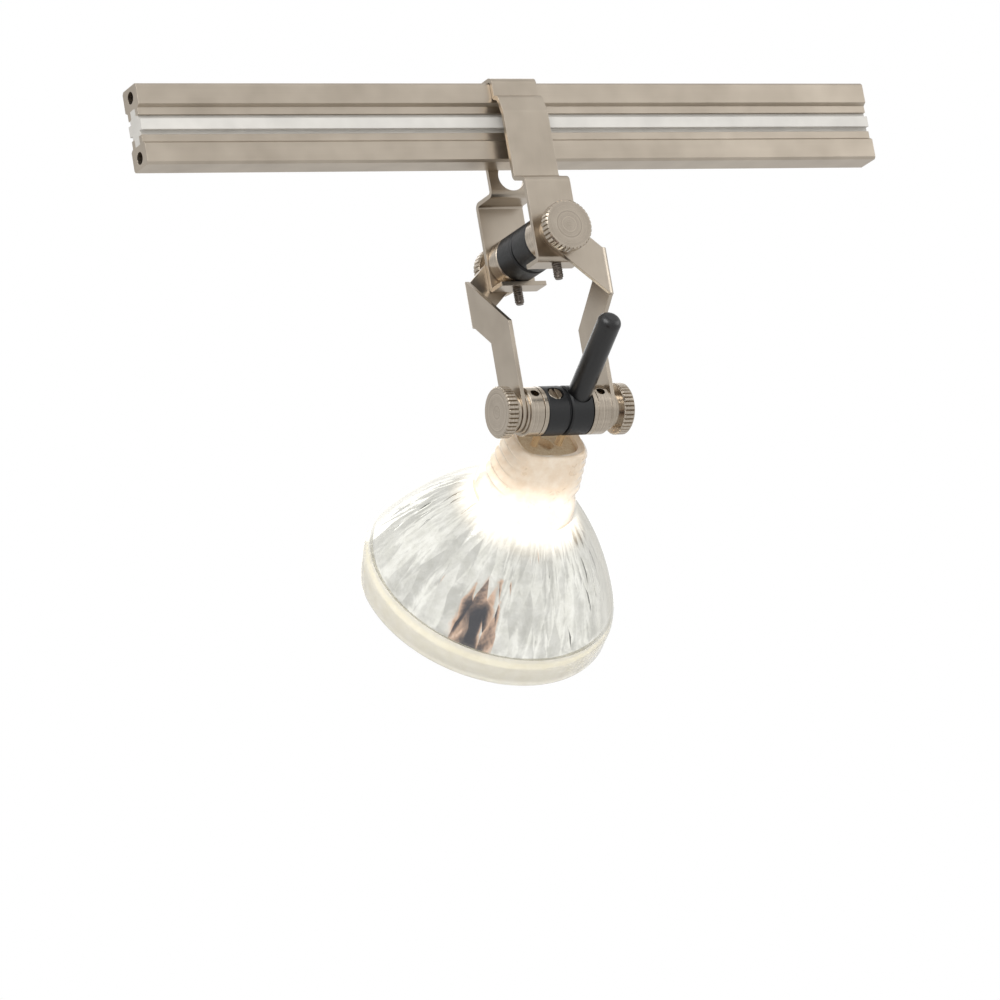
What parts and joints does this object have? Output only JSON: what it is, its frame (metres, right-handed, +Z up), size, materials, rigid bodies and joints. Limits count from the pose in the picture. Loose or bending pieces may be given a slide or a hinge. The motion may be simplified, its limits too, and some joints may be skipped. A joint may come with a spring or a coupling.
{
  "type": "track spotlight",
  "caption": "Low-voltage lamp head with a bare reflector lamp on a twisted-strip yoke that hooks over a thin two-conductor rail, swivels, tilts and is locked by thumbscrews.",
  "frame": {"origin": "on the rail's centre line, above the middle of the lamp head at rest", "axes": "+X along the rail, -Y to the front where the lever points, +Z up"},
  "size_m": [0.16, 0.0752, 0.1127],
  "materials": {
    "nickel_rail": "satin nickel plate, drawn along the rail",
    "rail_insulator_grey": "pale grey moulded",
    "satin_nickel_sheet": "satin nickel plate",
    "satin_nickel_turned": "turned satin nickel plate",
    "nickel_knob": "knurled edge, turned face",
    "dark_steel": "plain steel thread",
    "black_sleeve": "black turned insulator",
    "black_grip": "smooth black grip",
    "reflector_glass": "faceted dichroic coating",
    "cover_glass": "clear",
    "ceramic": "unglazed",
    "pin_metal": "plain",
    "quartz": "clear",
    "tungsten": "glowing coil"
  },
  "bodies": {
    "track": {"upper_conductor": "nickel_rail", "lower_conductor": "nickel_rail", "rail_insulator": "rail_insulator_grey"},
    "clip": {"front_clip_leaf": "satin_nickel_sheet", "rear_clip_leaf": "satin_nickel_sheet", "front_tab_screw": "dark_steel", "rear_tab_screw": "dark_steel", "upper_front_terminal": "satin_nickel_turned", "upper_rear_terminal": "satin_nickel_turned", "upper_front_sleeve": "black_sleeve", "upper_rear_sleeve": "black_sleeve", "upper_spacer": "black_sleeve"},
    "fork": {"right_fork_strip": "satin_nickel_sheet", "left_fork_strip": "satin_nickel_sheet"},
    "lamp_holder": {"lower_left_terminal": "satin_nickel_turned", "lower_right_terminal": "satin_nickel_turned", "lower_left_sleeve": "black_sleeve", "lower_right_sleeve": "black_sleeve", "lower_spacer": "black_sleeve", "lower_left_ring": "satin_nickel_turned", "lower_right_ring": "satin_nickel_turned", "lower_left_shoulder_washer": "satin_nickel_turned", "lower_right_shoulder_washer": "satin_nickel_turned", "pin_clamp_screw": "satin_nickel_turned", "lever_stud": "satin_nickel_turned", "aiming_lever": "black_grip"},
    "lamp": {"lamp_reflector": "reflector_glass", "lamp_front_glass": "cover_glass", "lamp_base": "ceramic", "lamp_contact_pins": "pin_metal", "lamp_capsule": "quartz", "lamp_filament": "tungsten"},
    "front_washer_carrier": {"front_washer": "satin_nickel_turned"},
    "front_knob": {"front_thumbscrew": "nickel_knob"},
    "rear_washer_carrier": {"rear_washer": "satin_nickel_turned"},
    "rear_knob": {"rear_thumbscrew": "nickel_knob"},
    "left_washer_carrier": {"left_washer": "satin_nickel_turned"},
    "left_knob": {"left_thumbscrew": "nickel_knob"},
    "right_washer_carrier": {"right_washer": "satin_nickel_turned"},
    "right_knob": {"right_thumbscrew": "nickel_knob"}
  },
  "joints": [
    {"name": "clip_slide", "type": "slide", "parent": "track", "child": "clip", "axis": [1, 0, 0], "range_m": [-0.072, 0.072]},
    {"name": "fork_swivel", "type": "hinge", "parent": "clip", "child": "fork", "pos_m": [0, 0, -0.0247], "axis": [0, 1, 0], "range_deg": [-75, 75]},
    {"name": "lamp_tilt", "type": "hinge", "parent": "fork", "child": "lamp_holder", "pos_m": [0, 0, -0.057], "axis": [1, 0, 0], "range_deg": [-168, 50]},
    {"name": "lamp_pull_out", "type": "slide", "parent": "lamp_holder", "child": "lamp", "axis": [0, 0.8526, -0.5225], "range_m": [0, 0.008]},
    {"name": "front_washer_slide", "type": "slide", "parent": "clip", "child": "front_washer_carrier", "axis": [0, -1, 0], "range_m": [0, 0.001]},
    {"name": "front_thumbscrew_turn", "type": "hinge", "parent": "front_washer_carrier", "child": "front_knob", "pos_m": [0, 0, -0.0247], "axis": [0, -1, 0], "range_deg": [0, 720]},
    {"name": "rear_washer_slide", "type": "slide", "parent": "clip", "child": "rear_washer_carrier", "axis": [0, 1, 0], "range_m": [0, 0.001]},
    {"name": "rear_thumbscrew_turn", "type": "hinge", "parent": "rear_washer_carrier", "child": "rear_knob", "pos_m": [0, 0, -0.0247], "axis": [0, 1, 0], "range_deg": [0, 720]},
    {"name": "left_washer_slide", "type": "slide", "parent": "lamp_holder", "child": "left_washer_carrier", "axis": [-1, 0, 0], "range_m": [0, 0.001]},
    {"name": "left_thumbscrew_turn", "type": "hinge", "parent": "left_washer_carrier", "child": "left_knob", "pos_m": [0, 0, -0.057], "axis": [-1, 0, 0], "range_deg": [0, 720]},
    {"name": "right_washer_slide", "type": "slide", "parent": "lamp_holder", "child": "right_washer_carrier", "axis": [1, 0, 0], "range_m": [0, 0.001]},
    {"name": "right_thumbscrew_turn", "type": "hinge", "parent": "right_washer_carrier", "child": "right_knob", "pos_m": [0, 0, -0.057], "axis": [1, 0, 0], "range_deg": [0, 720]}
  ],
  "couplings": [
    {"joint": "front_thumbscrew_turn", "follows": "front_washer_slide", "rad_per_m": 12566},
    {"joint": "rear_thumbscrew_turn", "follows": "rear_washer_slide", "rad_per_m": 12566},
    {"joint": "left_thumbscrew_turn", "follows": "left_washer_slide", "rad_per_m": 12566},
    {"joint": "right_thumbscrew_turn", "follows": "right_washer_slide", "rad_per_m": 12566}
  ]
}
